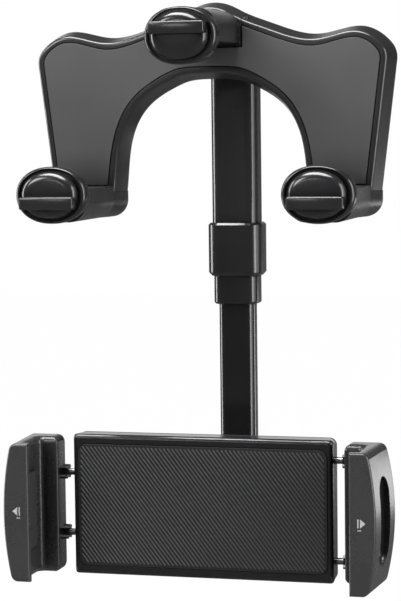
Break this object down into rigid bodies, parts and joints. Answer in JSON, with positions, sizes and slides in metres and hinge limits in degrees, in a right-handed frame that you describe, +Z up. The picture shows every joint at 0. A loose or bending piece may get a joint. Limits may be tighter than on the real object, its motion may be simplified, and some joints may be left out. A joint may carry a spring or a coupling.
{
  "type": "rear view mirror tablet holder",
  "caption": "Tablet holder with an arched claw bracket that grips a car's rear view mirror, a swivelling telescopic pole, a ball joint and a spring-jaw clamp.",
  "frame": {"origin": "on the plane where the mirror's back rests on the bracket's pad, on the axis of the pole's swivel", "axes": "+X to the viewer's right along the bracket, +Y away from the viewer, towards the windscreen, +Z up"},
  "size_m": [0.173, 0.1159, 0.2574],
  "materials": {
    "bracket_plastic": "satin moulded black",
    "pad_rubber": "matt soft dark grey",
    "claw_plastic": "satin moulded black",
    "head_plastic": "satin moulded black",
    "screw_steel": "plain steel",
    "spring_steel": "bright wire",
    "liner_plastic": "slippery grey plastic",
    "joint_plastic": "satin moulded black",
    "pole_gloss": "glossy black",
    "collar_gloss": "semi-gloss black",
    "clamp_gloss": "glossy black",
    "clamp_plastic": "satin moulded black",
    "grip_rubber": "finely ribbed dark grey",
    "jaw_plastic": "satin moulded black",
    "rod_chrome": "bright plated"
  },
  "bodies": {
    "bracket": {"bracket_shell": "bracket_plastic", "mirror_pad": "pad_rubber", "bracket_cover": "bracket_plastic", "cover_screws": "screw_steel", "left_claw_arm": "claw_plastic", "right_claw_arm": "claw_plastic", "friction_washer": "liner_plastic", "pivot_bolt": "screw_steel", "pivot_nut": "screw_steel", "top_claw_spring": "spring_steel"},
    "top_claw": {"top_claw_slider": "claw_plastic"},
    "top_head": {"top_claw_head": "head_plastic", "top_head_screw": "screw_steel"},
    "left_head": {"left_claw_head": "head_plastic", "left_head_screw": "screw_steel"},
    "right_head": {"right_claw_head": "head_plastic", "right_head_screw": "screw_steel"},
    "arm": {"pole_head": "joint_plastic", "pivot_cap": "joint_plastic", "outer_tube": "pole_gloss", "outer_collar": "collar_gloss"},
    "mid_stage": {"mid_tube": "pole_gloss", "mid_collar": "collar_gloss"},
    "inner_stage": {"inner_tube": "pole_gloss", "ball_arm": "joint_plastic"},
    "liner": {"ball_liner": "liner_plastic"},
    "nut": {"lock_nut": "joint_plastic"},
    "clamp": {"clamp_frame": "clamp_gloss", "grip_pad": "grip_rubber", "clamp_back": "clamp_plastic", "clamp_screws": "screw_steel", "left_jaw_springs": "spring_steel", "right_jaw_springs": "spring_steel"},
    "left_jaw_slide": {"left_jaw": "jaw_plastic", "left_jaw_pad": "pad_rubber", "left_rods": "rod_chrome"},
    "right_jaw_slide": {"right_jaw": "jaw_plastic", "right_jaw_pad": "pad_rubber", "right_rods": "rod_chrome"}
  },
  "joints": [
    {"name": "top_claw_lift", "type": "slide", "parent": "bracket", "child": "top_claw", "axis": [0, 0, 1], "range_m": [0, 0.015], "stiffness_N_per_m": 300, "springref_m": -0.02, "deforming": ["top_claw_spring"]},
    {"name": "top_head_turn", "type": "hinge", "parent": "top_claw", "child": "top_head", "pos_m": [0, -0.045, 0.00475], "axis": [0, 1, 0], "range_deg": [0, 180]},
    {"name": "left_head_turn", "type": "hinge", "parent": "bracket", "child": "left_head", "pos_m": [-0.0595, -0.045, -0.07], "axis": [0, 1, 0], "range_deg": [0, 180]},
    {"name": "right_head_turn", "type": "hinge", "parent": "bracket", "child": "right_head", "pos_m": [0.0595, -0.045, -0.07], "axis": [0, 1, 0], "range_deg": [0, 180]},
    {"name": "pole_swivel", "type": "hinge", "parent": "bracket", "child": "arm", "pos_m": [0, 0.03, 0], "axis": [0, 1, 0], "range_deg": [-90, 90]},
    {"name": "mid_extend", "type": "slide", "parent": "arm", "child": "mid_stage", "axis": [0, 0, -1], "range_m": [0, 0.055]},
    {"name": "inner_retract", "type": "slide", "parent": "mid_stage", "child": "inner_stage", "axis": [0, 0, 1], "range_m": [0, 0.07]},
    {"name": "ball_yaw", "type": "hinge", "parent": "inner_stage", "child": "liner", "pos_m": [0, 0.012, -0.2074], "axis": [0, 0, 1], "range_deg": [-20, 20]},
    {"name": "ball_tilt", "type": "hinge", "parent": "liner", "child": "nut", "pos_m": [0, 0.012, -0.2074], "axis": [1, 0, 0], "range_deg": [-20, 20]},
    {"name": "ball_roll", "type": "hinge", "parent": "nut", "child": "clamp", "pos_m": [0, 0.012, -0.2074], "axis": [0, 1, 0], "continuous": true},
    {"name": "left_jaw_pull", "type": "slide", "parent": "clamp", "child": "left_jaw_slide", "axis": [-1, 0, 0], "range_m": [0, 0.045], "stiffness_N_per_m": 150, "springref_m": -0.03, "deforming": ["left_jaw_springs"]},
    {"name": "right_jaw_pull", "type": "slide", "parent": "clamp", "child": "right_jaw_slide", "axis": [1, 0, 0], "range_m": [0, 0.045], "stiffness_N_per_m": 150, "springref_m": -0.03, "deforming": ["right_jaw_springs"]}
  ]
}
